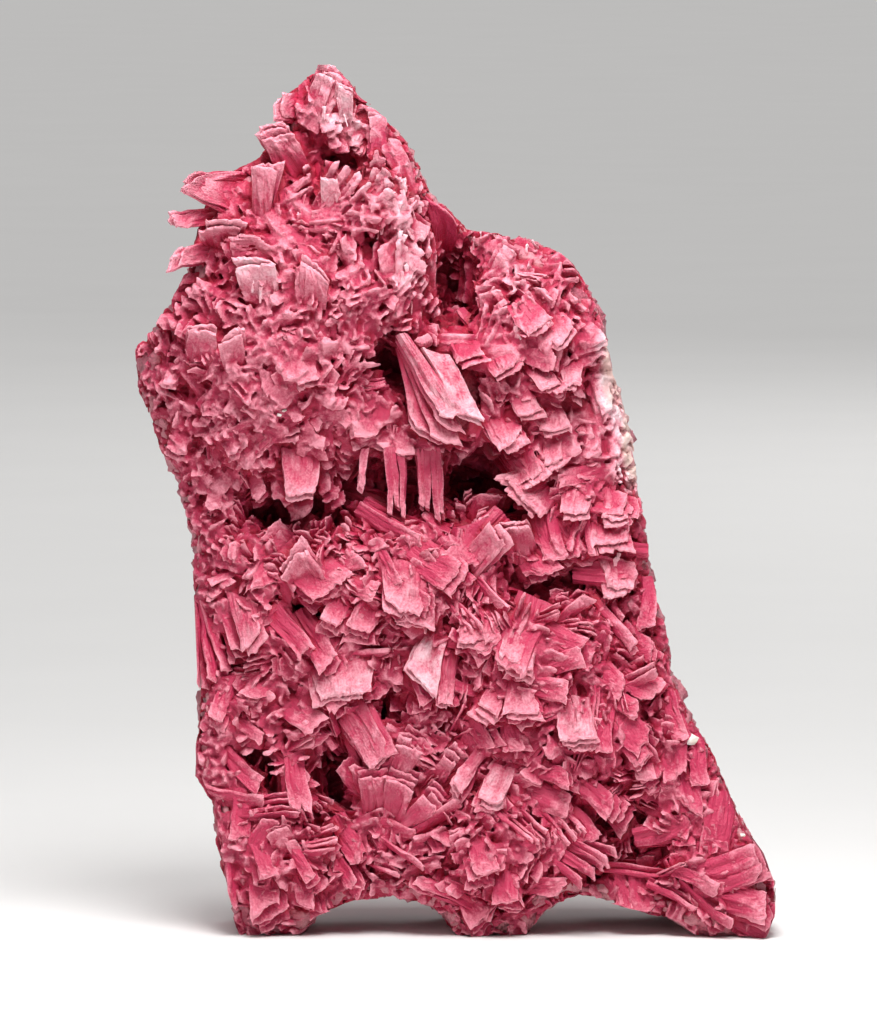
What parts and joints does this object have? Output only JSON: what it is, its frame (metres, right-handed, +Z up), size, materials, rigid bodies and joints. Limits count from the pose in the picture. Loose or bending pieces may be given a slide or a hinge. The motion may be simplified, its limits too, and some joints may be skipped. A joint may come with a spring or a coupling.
{
  "type": "rhodonite specimen",
  "caption": "Standing mineral specimen: intergrown pink bladed crystals on massive pale pink rock, with a broken back and flat contact faces at its foot.",
  "frame": {"origin": "bottom centre of the bounding box, on the plane that the specimen stands on", "axes": "+Z up, +Y into the back of the specimen, so the bladed front faces -Y; +X to the right seen from the front"},
  "size_m": [0.065, 0.0292, 0.0873],
  "materials": {
    "rhodonite": "vitreous crystal faces on a duller, paler massive rock"
  },
  "bodies": {
    "root": {"rhodonite_cluster": "rhodonite"}
  },
  "joints": []
}
